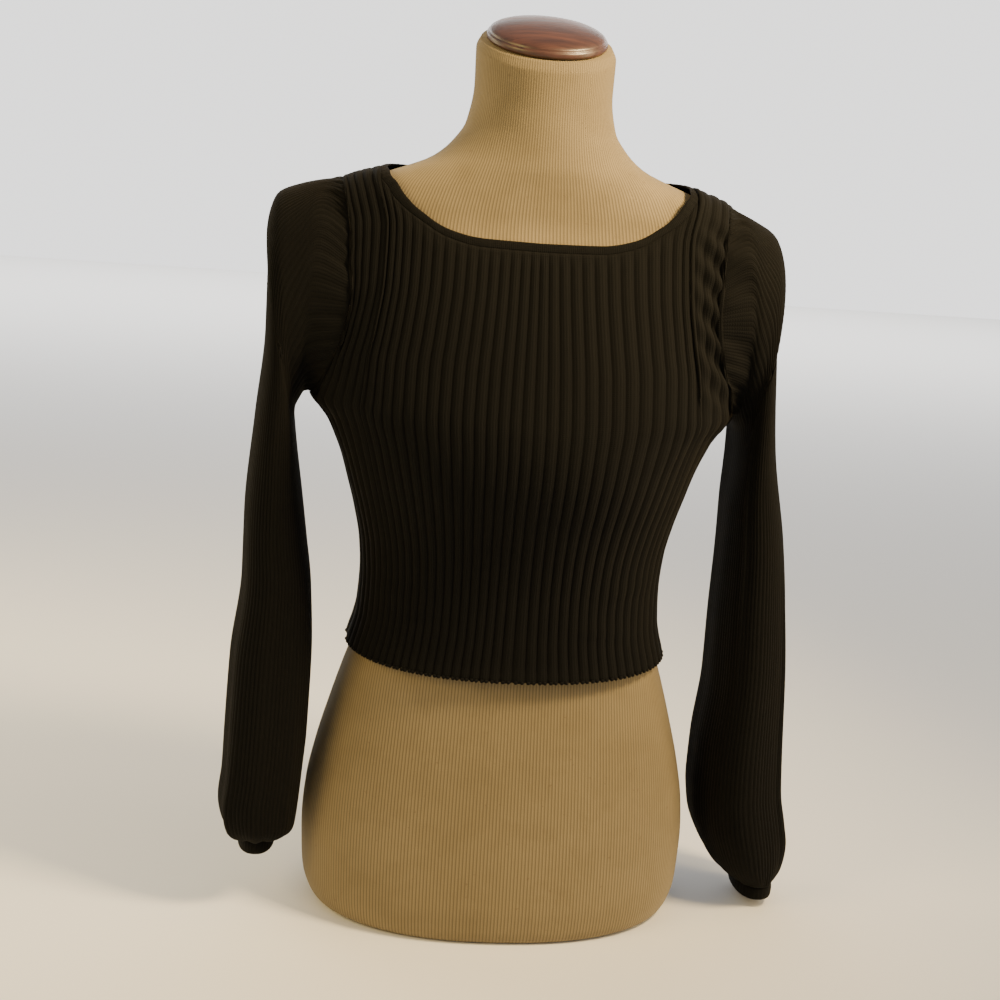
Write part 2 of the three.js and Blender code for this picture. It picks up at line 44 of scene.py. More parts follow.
# The camera stands a little above the chest, slightly to the left, dipped to take in the hem.
CAMERA_AWAY = 1.416
CAMERA_HEIGHT = 0.640
CAMERA_TURN = math.radians(-6.5)
CAMERA_DIP = math.radians(12)
CAMERA_ROLL = math.radians(4.1)
camera_data = bpy.data.cameras.new("camera")
camera_data.lens = 58.5
camera_data.shift_x = -0.012
camera_data.shift_y = 0.0315
camera_data.clip_start = 0.05
camera = bpy.data.objects.new("camera", camera_data)
camera_place = Vector((math.sin(CAMERA_TURN), -math.cos(CAMERA_TURN), 0)) * CAMERA_AWAY
camera_place.z = CAMERA_HEIGHT
camera.matrix_world = (
    Matrix.Translation(camera_place)
    @ Matrix.Rotation(CAMERA_TURN, 4, "Z")
    @ Matrix.Rotation(math.pi / 2 - CAMERA_DIP, 4, "X")
    @ Matrix.Rotation(CAMERA_ROLL, 4, "Z")
)
bpy.context.scene.collection.objects.link(camera)
bpy.context.scene.camera = camera

# A plain pale studio floor and soft light: a warm key high on the right, a yellow fill from
# the left, a strip on each side that outlines the dark cloth, and a broad lamp far behind that
# lights the floor there. The room is white.
FLOOR_HALF = 9.0
FLOOR_DROP = 0.0004
ROOM_LIGHT = 0.42  # what the room gives to the object
ROOM_SEEN = 1.9  # how bright the room itself looks
KEY_COLOUR = (1.0, 0.73, 0.36)


def add_node(tree, kind, settings=(), **inputs):
    """A shader node with its settings, and its inputs by name, each a value or an output."""
    node = tree.nodes.new(kind)
    for setting, value in dict(settings).items():
        setattr(node, setting, value)
    for name, value in inputs.items():
        socket = node.inputs[int(name[1:])] if name[0] == "i" and name[1:].isdigit() else node.inputs[name]
        if isinstance(value, bpy.types.NodeSocket):
            tree.links.new(value, socket)
        else:
            socket.default_value = value
    return node


def math_of(tree, operation, first, second=0.0):
    return add_node(tree, "ShaderNodeMath", {"operation": operation}, i0=first, i1=second).outputs[0]


def mix_of(tree, share, first, second):
    node = add_node(tree, "ShaderNodeMix", {"data_type": "RGBA"}, i0=share, i6=first, i7=second)
    return node.outputs[2]


def noise_of(tree, vector, scale, detail, roughness=0.5):
    grain = {"Scale": scale, "Detail": detail, "Roughness": roughness}
    return add_node(tree, "ShaderNodeTexNoise", Vector=vector, **grain).outputs["Fac"]


def between(tree, value, low, high, to_low, to_high):
    node = add_node(tree, "ShaderNodeMapRange", i0=value, i1=low, i2=high, i3=to_low, i4=to_high)
    return node.outputs[0]


def lit_floor():
    bm = bmesh.new()
    bmesh.ops.create_grid(bm, x_segments=1, y_segments=1, size=FLOOR_HALF)
    bmesh.ops.translate(bm, verts=bm.verts, vec=(0, 0, -FLOOR_DROP))
    mesh = bpy.data.meshes.new("floor")
    bm.to_mesh(mesh)
    bm.free()
    paint = bpy.data.materials.new("floor_paint")
    paint.use_nodes = True
    shader = paint.node_tree.nodes["Principled BSDF"]
    shader.inputs["Base Color"].default_value = (0.86, 0.86, 0.855, 1)
    shader.inputs["Roughness"].default_value = 0.9
    mesh.materials.append(paint)
    floor = bpy.data.objects.new("floor", mesh)
    bpy.context.scene.collection.objects.link(floor)
    return floor


def soft_light(name, place, aim, width, height, watts, colour, spread=180):
    lamp = bpy.data.lights.new(name, "AREA")
    lamp.shape = "RECTANGLE"
    lamp.size = width
    lamp.size_y = height
    lamp.energy = watts
    lamp.color = colour
    lamp.spread = math.radians(spread)
    light = bpy.data.objects.new(name, lamp)
    light.location = place
    light.rotation_euler = (Vector(aim) - Vector(place)).to_track_quat("-Z", "Y").to_euler()
    bpy.context.scene.collection.objects.link(light)


lit_floor()
CHEST = (0, 0, 0.45)
soft_light("key", (0.78, -0.48, 1.36), (0.05, 0, 0.72), 0.34, 0.34, 11, KEY_COLOUR, 80)
soft_light("fill", (-1.4, -0.85, 1.15), CHEST, 0.9, 0.9, 22, (1.0, 0.7, 0.22))
soft_light("backdrop", (0, 7.0, 3.0), (0, 7.01, 0), 12.0, 6.0, 720, (1.0, 0.98, 0.95))
soft_light("left_edge", (-1.3, 0.7, 0.9), CHEST, 0.5, 1.4, 10, (1.0, 0.78, 0.4))
soft_light("right_edge", (1.35, -0.3, 0.6), (0.1, 0, 0.3), 0.5, 1.0, 12, KEY_COLOUR)
room = bpy.data.worlds.new("room")
room.use_nodes = True
room.node_tree.nodes["Background"].inputs["Color"].default_value = (1, 0.99, 0.98, 1)
seen = add_node(room.node_tree, "ShaderNodeLightPath").outputs["Is Camera Ray"]
strength = between(room.node_tree, seen, 0, 1, ROOM_LIGHT, ROOM_SEEN)
room.node_tree.links.new(strength, room.node_tree.nodes["Background"].inputs["Strength"])
bpy.context.scene.world = room

# The dress form is a moulded limbless body, padded hard and drawn over with one layer of fine
# pinstriped jersey. It stands on its flat base, and the top of its neck leans to the front.
MM = 0.001
SECTION_POWER = 2.3  # a section is squarer than an ellipse, whose power is 2
NECK_TILT = math.radians(20)
NECK_TOP = 758
NECK_BEND = 690  # below this height the neck is level

# Height, half width, depth to the front and depth to the back, in millimetres
FORM_ROWS = [
    (0, 156, 117, 112),
    (4, 163, 121, 117),
    (12, 168, 123, 121),
    (25, 172, 123, 124),
    (42, 173.5, 121, 126),
    (70, 174.5, 117, 127),
    (100, 172.5, 112, 126),
    (135, 166, 106, 122),
    (180, 154, 98.5, 111),
    (210, 145, 94, 104),
    (240, 135.5, 91, 97.5),
    (270, 129.5, 89.5, 92.5),
    (300, 127.5, 90, 90),
    (330, 129, 94, 90),
    (360, 134, 103, 92),
    (390, 140, 116, 95),
    (420, 146, 122.2, 99),
    (445, 151, 119, 102),
    (470, 159, 111, 104),
    (500, 174, 101, 104),
    (530, 189, 91, 100),
    (560, 202, 80, 93),
    (580, 207, 72, 86),
    (595, 207, 65.5, 78),
    (604, 202.5, 61.5, 72.5),
    (613, 194.5, 59.5, 68.5),
    (621, 182, 59, 66),
    (629, 165, 58.5, 64),
    (637, 148, 58.3, 63),
    (643, 131, 58.2, 62),
    (652, 107, 58.5, 61.5),
    (658, 93, 58, 61),
    (664, 84, 57.5, 60),
    (672, 75.5, 57, 59),
    (690, 63.5, 56.5, 57.5),
    (720, 58.5, 55.5, 56),
    (750, 59, 55.5, 56),
    (NECK_TOP, 55.5, 52, 52.5),
]
FORM_COLUMNS = 200
FORM_LEVELS_SHOWN = 190
STRIPE_PITCH = 2.9  # millimetres between two pinstripes at the hips
HIP_ROUND = 890  # millimetres round the hips, where the stripes stand furthest apart


def curve_through(rows):
    """A smooth curve through a table's rows, by its first column, that never overshoots them."""
    table = np.array(rows, float)
    at, values = table[:, 0], table[:, 1:]
    steps = np.diff(values, axis=0) / np.diff(at)[:, None]
    slopes = np.concatenate([steps[:1], np.zeros_like(steps[1:]), steps[-1:]])
    before, after = steps[:-1], steps[1:]
    same_way = before * after > 0
    both = np.where(same_way, before + after, 1)
    slopes[1:-1] = np.where(same_way, 2 * before * after / both, 0)

    def read(place):
        place = np.clip(np.asarray(place, float), at[0], at[-1])
        i = np.clip(np.searchsorted(at, place) - 1, 0, len(at) - 2)
        span = (at[i + 1] - at[i])[..., None]
        t = (place - at[i])[..., None] / span
        first = values[i] * (1 + 2 * t) + slopes[i] * span * t
        second = values[i + 1] * (3 - 2 * t) + slopes[i + 1] * span * (t - 1)
        return first * (1 - t) ** 2 + second * t**2

    return read


def smoothstep(value, low, high):
    t = np.clip((np.asarray(value, float) - low) / (high - low), 0, 1)
    return t * t * (3 - 2 * t)


def signed_power(value, power):
    return np.sign(value) * np.abs(value) ** power


def body_point(levels, angle, height, power=SECTION_POWER):
    """Points of a levelled body, by degrees from the front centre towards +X and by height."""
    half, front, back = np.moveaxis(levels(height), -1, 0)
    across = np.sin(np.radians(angle))
    along = np.cos(np.radians(angle))
    depth = np.where(along > 0, front, back)
    x = half * signed_power(across, 2 / power)
    y = -depth * signed_power(along, 2 / power)
    return np.stack(np.broadcast_arrays(x, y, height), axis=-1).astype(float)


def shaped_grid(name, points, counts, welded=False):
    """A grid of squares moved to points[row, column], in millimetres, with its own UV counts."""
    rows, columns = points.shape[0] - 1, points.shape[1] - 1
    bm = bmesh.new()
    bmesh.ops.create_grid(bm, x_segments=columns, y_segments=rows, size=0.5)
    mesh = bpy.data.meshes.new(name)
    bm.to_mesh(mesh)
    flat = np.empty(len(mesh.vertices) * 3)
    mesh.vertices.foreach_get("co", flat)
    column = np.rint((flat[0::3] + 0.5) * columns).astype(int)
    row = np.rint((flat[1::3] + 0.5) * rows).astype(int)
    mesh.vertices.foreach_set("co", (points[row, column] * MM).ravel())
    corner = np.empty(len(mesh.loops), int)
    mesh.loops.foreach_get("vertex_index", corner)
    own_map = mesh.uv_layers.new(name="UVMap")
    own_map.data.foreach_set("uv", counts[row[corner], column[corner]].ravel())
    if welded:
        bm.clear()
        bm.from_mesh(mesh)
        bmesh.ops.remove_doubles(bm, verts=bm.verts, dist=1e-6)
        bmesh.ops.recalc_face_normals(bm, faces=bm.faces)
        bm.to_mesh(mesh)
    bm.free()
    mesh.shade_smooth()
    piece = bpy.data.objects.new(name, mesh)
    bpy.context.scene.collection.objects.link(piece)
    return piece


def lengths_along(points, axis):
    """The distance along a grid's rows or columns of points, from its first."""
    steps = np.linalg.norm(np.diff(points, axis=axis), axis=-1)
    first = np.zeros_like(np.take(steps, [0], axis=axis))
    return np.cumsum(np.concatenate([first, steps], axis=axis), axis=axis)


def form_body():
    """The form's skin, from the middle of its base up to the middle of the neck's top."""
    form_levels = curve_through(FORM_ROWS)
    height = np.concatenate([[0, 0], np.linspace(0, 12, 12), np.linspace(14, 750, FORM_LEVELS_SHOWN)])
    height = np.concatenate([height, np.linspace(751, NECK_TOP, 8), [NECK_TOP, NECK_TOP]])[:, None]
    size = np.ones_like(height)
    size[:2, 0] = 0, 0.6
    size[-2:, 0] = 0.6, 0
    angle = np.linspace(-180, 180, FORM_COLUMNS + 1)[None, :]
    power = SECTION_POWER + (2 - SECTION_POWER) * smoothstep(height, 600, 680)
    height, angle, size, power = np.broadcast_arrays(height, angle, size, power)
    points = body_point(form_levels, angle, height, power)
    points[..., :2] *= size[..., None]
    bend = math.tan(NECK_TILT) * smoothstep(height, NECK_BEND - 26, NECK_TOP - 8)
    points[..., 2] += bend * points[..., 1]
    side = FORM_COLUMNS // 4
    round_way = lengths_along(points, 1)
    whole = round_way[:, -1:]
    from_front = round_way - round_way[:, 2 * side : 2 * side + 1]
    from_back = np.where(from_front > 0, round_way - whole, round_way)
    own = np.where(np.abs(angle) <= 90, from_front, from_back)
    spread = np.maximum(whole / HIP_ROUND, 0.05) ** 0.35
    counts = np.stack([own / STRIPE_PITCH / spread, lengths_along(points, 0) / STRIPE_PITCH], axis=-1)
    return shaped_grid("form_cover", points, counts, welded=True)


def new_finish(name):
    """A material with its tree, its shader and its coordinates."""
    finish = bpy.data.materials.new(name)
    finish.use_nodes = True
    tree = finish.node_tree
    return finish, tree, tree.nodes["Principled BSDF"], tree.nodes.new("ShaderNodeTexCoord")


def set_bump(tree, shader, height, distance, strength):
    bump = add_node(tree, "ShaderNodeBump", Height=height, Distance=distance, Strength=strength)
    tree.links.new(bump.outputs["Normal"], shader.inputs["Normal"])


CREAM = (0.185, 0.143, 0.075, 1)
PALE_CREAM = (0.228, 0.178, 0.098, 1)
SOILED_CREAM = (0.135, 0.102, 0.05, 1)
PINSTRIPE = (0.07, 0.055, 0.033, 1)
SPECK = (0.12, 0.085, 0.05, 1)


def form_jersey():
    finish, tree, shader, coords = new_finish("form_jersey")
    own = add_node(tree, "ShaderNodeSeparateXYZ", Vector=coords.outputs["UV"])
    line = math_of(tree, "SINE", math_of(tree, "MULTIPLY", own.outputs["X"], 2 * math.pi))
    wander = noise_of(tree, coords.outputs["Object"], 9, 3)
    cloud = noise_of(tree, coords.outputs["Object"], 34, 4, 0.6)
    nap = noise_of(tree, coords.outputs["Object"], 900, 2)
    speck = noise_of(tree, coords.outputs["Object"], 210, 1)
    ground = mix_of(tree, between(tree, wander, 0.3, 0.7, 0, 1), CREAM, PALE_CREAM)
    ground = mix_of(tree, between(tree, cloud, 0.45, 0.7, 0, 0.3), ground, SOILED_CREAM)
    striped = mix_of(tree, between(tree, line, -0.2, 0.9, 0, 0.62), ground, PINSTRIPE)
    specked = mix_of(tree, between(tree, speck, 0.74, 0.78, 0, 0.5), striped, SPECK)
    tree.links.new(specked, shader.inputs["Base Color"])
    shader.inputs["Roughness"].default_value = 0.82
    shader.inputs["Specular IOR Level"].default_value = 0.3
    shader.inputs["Sheen Weight"].default_value = 0.12
    shader.inputs["Sheen Roughness"].default_value = 0.5
    shader.inputs["Sheen Tint"].default_value = (1.0, 0.86, 0.62, 1)
    relief = math_of(tree, "ADD", math_of(tree, "MULTIPLY", line, 0.35), nap)
    set_bump(tree, shader, relief, 0.00025, 0.7)
    return finish


form = form_body()
form.data.materials.append(form_jersey())
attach(form, WHOLE)
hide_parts("dress_form")

# The cap is turned from dark wood on a lathe, polished with wax, and set on the slanting top
# of the neck. A small step runs round it above its foot.
CAP_LIFT = 758.5  # the middle of its underside, just clear of the neck
CAP_STEPS = 96

# Radius and height above the cap's flat underside, in millimetres
CAP_PROFILE = [
    (0, 0),
    (46, 0),
    (49.6, 0.25),
    (50.8, 1.2),
    (51, 2.6),
    (50.9, 4.4),
    (50.3, 5.5),
    (49.4, 6.1),
    (49.0, 6.6),
    (48.9, 7.4),
    (48.0, 8.4),
    (45.8, 9.8),
    (42.0, 11.3),
    (36.5, 12.7),
    (30.0, 13.9),
    (22.5, 14.9),
    (15.0, 15.5),
    (7.5, 15.85),
    (0, 16),
]


def turned_cap():
    bm = bmesh.new()
    rim = [bm.verts.new((radius * MM, 0, height * MM)) for radius, height in CAP_PROFILE]
    edges = [bm.edges.new(pair) for pair in zip(rim, rim[1:])]
    full_turn = 2 * math.pi
    axis = (0, 0, 1)
    bmesh.ops.spin(bm, geom=rim + edges, axis=axis, angle=full_turn, steps=CAP_STEPS, use_merge=True)
    bmesh.ops.remove_doubles(bm, verts=bm.verts, dist=1e-6)
    bmesh.ops.recalc_face_normals(bm, faces=bm.faces)
    tilt = Matrix.Rotation(NECK_TILT, 4, "X")
    bmesh.ops.transform(bm, matrix=Matrix.Translation((0, 0, CAP_LIFT * MM)) @ tilt, verts=bm.verts)
    mesh = bpy.data.meshes.new("turned_cap")
    bm.to_mesh(mesh)
    bm.free()
    mesh.shade_smooth()
    piece = bpy.data.objects.new("turned_cap", mesh)
    bpy.context.scene.collection.objects.link(piece)
    return piece


DARK_WOOD = (0.022, 0.009, 0.007, 1)
RED_WOOD = (0.075, 0.028, 0.019, 1)
WOOD_PORE = (0.012, 0.006, 0.005, 1)


def cap_wood():
    finish, tree, shader, coords = new_finish("cap_wood")
    lie = {"vector_type": "POINT"}
    grain_way = (0.25, -0.1, 0.5)
    stretched = add_node(tree, "ShaderNodeMapping", lie, Rotation=grain_way, Scale=(9, 90, 60))
    tree.links.new(coords.outputs["Object"], stretched.inputs["Vector"])
    grain = noise_of(tree, stretched.outputs["Vector"], 1.6, 6, 0.62)
    pore = noise_of(tree, stretched.outputs["Vector"], 9, 3, 0.6)
    shade = mix_of(tree, between(tree, grain, 0.3, 0.7, 0, 1), DARK_WOOD, RED_WOOD)
    shade = mix_of(tree, between(tree, pore, 0.56, 0.7, 0, 0.55), shade, WOOD_PORE)
    tree.links.new(shade, shader.inputs["Base Color"])
    tree.links.new(between(tree, grain, 0.3, 0.7, 0.34, 0.48), shader.inputs["Roughness"])
    shader.inputs["Coat Weight"].default_value = 0.25
    shader.inputs["Coat Roughness"].default_value = 0.3
    set_bump(tree, shader, pore, 0.00012, 0.5)
    return finish


cap = turned_cap()
cap.data.materials.append(cap_wood())
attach(cap, WHOLE)
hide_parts("neck_cap")

# The front and the back are two panels of black rib knit, sewn at the shoulders and sides.
# Their ribs fan out over the bust, draw in at the waist and flare to a scalloped hem.
WALL = 1.3
RIB_HEIGHT = 1.8
FULL_RIB = 6.0  # a rib squeezed narrower than this stands lower
SEAM = 0.5
NECK_SEAM = -0.5
HEM_SCALLOP = 1.3
HEM_HEIGHT = 230  # at the front and back centres
HEM_RISE = 8  # how much higher the hem is at the side seams
BODY_RIBS = 40
HALF_RIBS = BODY_RIBS / 2
RIB_COLUMNS = 8  # squares across one rib
PANEL_ROWS = 112
NECK_SHARE = 14.6 / HALF_RIBS  # the share of half a panel's ribs that end at the neckline
SHOULDER_SHARE = 18.6 / HALF_RIBS  # and at the shoulder seam
NECK_FAN = 1.1  # how closely the ribs start together at the middle of the neckline
DRAWN_ASIDE = 0.10  # how far the middle rib is drawn to the left, as a share of half a panel
WALES = 4  # stitches across one rib
COURSE = 1.5  # millimetres that one stitch takes along a rib
SIDES_WIDER = 0.12  # how much further apart the ribs stand at the sides, and closer at the centre
PUCKER_TURN = 2 * math.pi / 25  # one pucker in 25 mm along an armhole
PUCKERS_START = (455, 490)  # the heights between which the puckers grow
PUCKERS_STOP = (600, 632)  # and die away
PANEL_CLOTH = 1.2  # thickness between two ribs

# The inside of the cloth: height, half width, depth to the front and depth to the back
CLOTH_ROWS = [
    (224, 147, 102, 111),
    (232, 142.5, 99, 107),
    (242, 139.5, 96.5, 103),
    (255, 135.5, 95.5, 99.5),
    (270, 132.5, 95, 97.5),
    (300, 131, 96, 95.5),
    (330, 133, 101, 96),
    (360, 139, 109, 98),
    (385, 146, 118, 101),
    (405, 152, 123, 103),
    (420, 158, 124, 104.5),
    (440, 168, 122, 106),
    (458, 183, 117.5, 107.5),
    (480, 188, 111, 108),
    (500, 189, 105, 107.5),
    (530, 195, 95, 103.5),
    (560, 205, 84, 97),
    (580, 210, 76, 90),
    (597, 211.5, 70, 82),
    (607, 208.5, 66.5, 77),
    (616, 201.5, 64.5, 73),
    (624, 189.5, 63.5, 70),
    (632, 172.5, 63, 68),
    (640, 154, 62.5, 66.5),
    (646, 134.5, 62, 65.5),
    (655, 109.5, 61.5, 64.5),
]

# Degrees round from the front centre, the height of the neck's edge, the drop to the band's seam
NECKLINE_ROWS = [
    (0, 595, 7.8),
    (11, 596.2, 7.7),
    (17.9, 601.2, 7.3),
    (26.3, 614.7, 6.6),
    (34.7, 626.5, 5.8),
    (46.7, 637.5, 4.6),
    (65, 645, 3.4),
    (90, 649, 2.8),
    (115, 650, 3.2),
    (135, 650, 4),
    (155, 650, 5.6),
    (180, 650, 7),
]

# The armhole from the shoulder tip down to the armpit: degrees from the side, height
ARMHOLE_ROWS = [
    (0, 636.4),
    (22, 632),
    (37.7, 620),
    (45.1, 600),
    (45.1, 570),
    (44, 545),
    (39.8, 520),
    (32.2, 490),
    (22.7, 470),
    (12.3, 460),
    (0, 457),
]

# The half width that the ribs spread over above the waist: height, half width
RIB_FIELD_ROWS = [
    (385, 146),
    (420, 156),
    (458, 165),
    (490, 164),
    (520, 158),
    (560, 151),
    (600, 149),
    (636.4, 159),
]
ARMPIT = ARMHOLE_ROWS[-1][1]
SHOULDER_TIP = ARMHOLE_ROWS[0][1]
cloth_levels = curve_through(CLOTH_ROWS)
neckline = curve_through(NECKLINE_ROWS)
rib_field = curve_through(RIB_FIELD_ROWS)


def cloth_point(angle, height):
    return body_point(cloth_levels, angle, height)


def cloth_normal(angle, height):
    """The way out of the cloth. It is read a degree aside of the front and back centres."""
    step = 0.4
    angle = np.asarray(angle, float)
    half_turns = 180 * np.trunc(angle / 180)
    aside = np.sign(np.where(angle == 0, 1, angle)) * np.clip(np.abs(angle - half_turns), 1, 179)
    apart = np.where(np.abs(angle) < 1, angle, aside + half_turns)
    around = cloth_point(apart + step, height) - cloth_point(apart - step, height)
    upward = cloth_point(apart, height + step) - cloth_point(apart, height - step)
    out = np.cross(around, upward)
    out[..., 1] = np.where(np.abs(np.cos(np.radians(angle))) < 1e-6, 0, out[..., 1])
    return out / np.linalg.norm(out, axis=-1, keepdims=True)


def width_at(angle, height):
    return np.abs(cloth_point(angle, height)[..., 0])


def neck_seam(share, back):
    """The seam below the neckband: its angle and height. The ribs end along it by the width
    that they have from the front, and a few more of them where it runs over the shoulder."""
    step = np.arange(0, 91)
    angle = 180 - step if back else step
    edge, drop = neckline(angle).T
    height = edge - drop - NECK_SEAM
    reach = np.maximum.accumulate(width_at(angle, height))
    reach = reach + 0.3 * lengths_along(cloth_point(angle, height), 0)
    target = reach[-1] * np.minimum(1, share) ** NECK_FAN
    return np.interp(target, reach, angle), np.interp(target, reach, height)


def armhole_line():
    """The armhole as a smooth line through its rows, in many short steps, with its length."""
    table = np.array(ARMHOLE_ROWS, float)
    last = len(table) - 1
    place = np.linspace(0, last, 2001)
    i = np.minimum(place.astype(int), last)
    t = (place - i)[:, None]
    first, second = table[i], table[np.minimum(i + 1, last)]
    leave = (second - table[np.maximum(i - 1, 0)]) / 2
    arrive = (table[np.minimum(i + 2, last)] - first) / 2
    line = (2 * first - 2 * second + leave + arrive) * t**3
    line += (3 * second - 3 * first - 2 * leave - arrive) * t**2 + leave * t + first
    return line, lengths_along(line, 0)


ARMHOLE_LINE, ARMHOLE_LENGTH = armhole_line()


def armhole(share, back):
    """The armhole's edge as an angle and a height, from the shoulder tip to the armpit."""
    target = ARMHOLE_LENGTH[-1] * np.clip(share, 0, 1) ** 0.8
    side = np.interp(target, ARMHOLE_LENGTH, ARMHOLE_LINE[:, 0])
    height = np.interp(target, ARMHOLE_LENGTH, ARMHOLE_LINE[:, 1])
    return (90 + side if back else 90 - side), height


def panel_top(share, back):
    """Where a rib ends: at the neckband, the shoulder seam or the armhole."""
    if share <= NECK_SHARE:
        return neck_seam(share / NECK_SHARE, back)
    if share <= SHOULDER_SHARE:
        start = neck_seam(1, back)[1]
        along = (share - NECK_SHARE) / (SHOULDER_SHARE - NECK_SHARE)
        return 90, start + (SHOULDER_TIP - start) * along
    return armhole((share - SHOULDER_SHARE) / (1 - SHOULDER_SHARE), back)


def angle_at(x, height):
    reach = np.minimum(1, x / cloth_levels(height)[..., 0])
    return np.degrees(np.arcsin(reach ** (SECTION_POWER / 2)))


armhole_reach = curve_through([(z, width_at(90 - side, z)) for side, z in ARMHOLE_ROWS[::-1]])


def rib_reach(share, height):
    """How far from the middle the ribs spread at a height."""
    widest = cloth_levels(height)[..., 0]
    edge = np.where(height < ARMPIT, widest, armhole_reach(height)[..., 0])
    field = np.where(height < RIB_FIELD_ROWS[0][0], widest, rib_field(height)[..., 0])
    return field + (edge - field) * share**6


def rib_line(share, back):
    """A rib's angles, heights and lengths from the hem to the panel's top."""
    end_angle, end_height = panel_top(share, back)
    seen_even = np.degrees(np.arcsin(share ** (SECTION_POWER / 2)))
    hem_angle = (90 * share + seen_even) / 2
    start_height = HEM_HEIGHT + HEM_RISE * share**2
    start_share = width_at(hem_angle, start_height) / rib_reach(share, start_height)
    end_share = width_at(end_angle, end_height) / rib_reach(share, end_height)
    t = 1 - (1 - np.linspace(0, 1, 141)) ** 2
    height = start_height + (end_height - start_height) * t
    x = rib_reach(share, height) * (start_share + (end_share - start_share) * t**1.3)
    angle = np.full_like(height, 90.0) if share == 1 else angle_at(x, height)
    angle = 180 - angle if back else angle
    angle[-1] = end_angle
    return angle, height, lengths_along(cloth_point(angle, height), 0)


def rib_profile(ribs):
    """A rib's rise over the cloth: broad and round, with a narrow channel on either side."""
    return np.abs(np.sin(np.pi * ribs)) ** 0.62


def fold_lift(rows, across, up):
    """The lift of creases, each from one place to another, with its height and half width."""
    lift = np.zeros(np.broadcast(across, up).shape)
    for x0, z0, x1, z1, ridge, width in rows:
        run = np.array([x1 - x0, z1 - z0], float)
        size = np.linalg.norm(run)
        run /= size
        along = (across - x0) * run[0] + (up - z0) * run[1]
        aside = (up - z0) * run[0] - (across - x0) * run[1]
        ends = smoothstep(along, 0, 0.35 * size) * (1 - smoothstep(along, 0.55 * size, size))
        lift += ridge * np.exp(-((aside / width) ** 2)) * ends
    return lift


# Creases of the front and the back: from x, z to x, z, then ridge and half width
FRONT_CREASES = [
    (-150, 470, -96, 420, 1.6, 9),
    (150, 466, 100, 412, 1.6, 9),
    (-128, 300, -60, 286, 1.3, 8),
    (124, 318, 58, 300, 1.3, 8),
    (-118, 262, -40, 268, 1.1, 8),
    (112, 270, 36, 276, 1.1, 8),
    (-60, 372, 10, 352, 1.0, 10),
]
BACK_CREASES = [
    (-150, 470, -90, 436, 1.6, 10),
    (150, 472, 92, 430, 1.6, 10),
    (-120, 330, -30, 318, 1.5, 10),
    (122, 318, 34, 302, 1.5, 10),
    (-112, 286, -20, 292, 1.2, 9),
    (108, 268, 14, 276, 1.2, 9),
]


def knit_panel(name, back, creases, aside, puckers):
    """A ribbed panel, in as many columns as its ribs need. The ribs stand closer at the centre
    and further apart at the sides. The left and right armholes are puckered by their rise."""
    ribs = np.linspace(0, BODY_RIBS, BODY_RIBS * RIB_COLUMNS + 1)
    even = (ribs - HALF_RIBS) / HALF_RIBS
    share = even * (1 - SIDES_WIDER) + SIDES_WIDER * even * np.abs(even) - aside * (1 - even**2)
    level = np.linspace(0, 1, PANEL_ROWS + 1)
    angle = np.empty((PANEL_ROWS + 1, len(ribs)))
    height = np.empty_like(angle)
    along = np.empty_like(angle)
    for c, one in enumerate(share * (-1 if back else 1)):
        line_angle, line_height, length = rib_line(abs(one), back)
        target = level * length[-1]
        angle[:, c] = np.copysign(1, one) * np.interp(target, length, line_angle)
        height[:, c] = np.interp(target, length, line_height)
        along[:, c] = target
    points = cloth_point(angle, height)
    out = cloth_normal(angle, height)
    points[..., 1] += SEAM / 2 if back else -SEAM / 2
    at_armhole = np.abs(share) > SHOULDER_SHARE
    fade_from = np.where(at_armhole, 0.9, 0.965)[None, :]
    fade = 1 - 0.75 * smoothstep(level[:, None], fade_from, 1.0)
    profile = rib_profile(ribs)[None, :]
    hang = HEM_SCALLOP * profile * (1 - smoothstep(level, 0, 0.03))[:, None]
    lift = fold_lift(creases, points[..., 0], points[..., 2])
    lift *= smoothstep(level, 0.02, 0.12)[:, None] * (1 - smoothstep(level, 0.86, 0.97))[:, None]
    pull = np.where(even < 0, puckers[0], puckers[1]) * smoothstep(np.abs(even), 0.76, 0.9)
    pull = pull * (0.3 + 0.7 * np.sin(PUCKER_TURN * (points[..., 2] + 0.9 * np.abs(points[..., 0]))))
    stop = 1 - smoothstep(points[..., 2], *PUCKERS_STOP)
    lift += pull * smoothstep(points[..., 2], *PUCKERS_START) * stop
    rib_width = np.linalg.norm(np.gradient(points, axis=1), axis=-1) * RIB_COLUMNS
    full = smoothstep(rib_width, 0, FULL_RIB)
    points += out * (WALL + RIB_HEIGHT * profile * fade * full + lift)[..., None]
    points[..., 2] -= hang
    counts = np.stack(np.broadcast_arrays(ribs[None, :] * WALES, along / COURSE), axis=-1)
    return shaped_grid(name, points, counts)


def brighter(colour, times):
    return tuple(times * part for part in colour[:3]) + (1,)


def set_matt_yarn(shader, roughness):
    shader.inputs["Roughness"].default_value = roughness
    shader.inputs["Specular IOR Level"].default_value = 0.14
    shader.inputs["Sheen Weight"].default_value = 0.012
    shader.inputs["Sheen Roughness"].default_value = 0.45
    shader.inputs["Sheen Tint"].default_value = (0.9, 0.78, 0.62, 1)


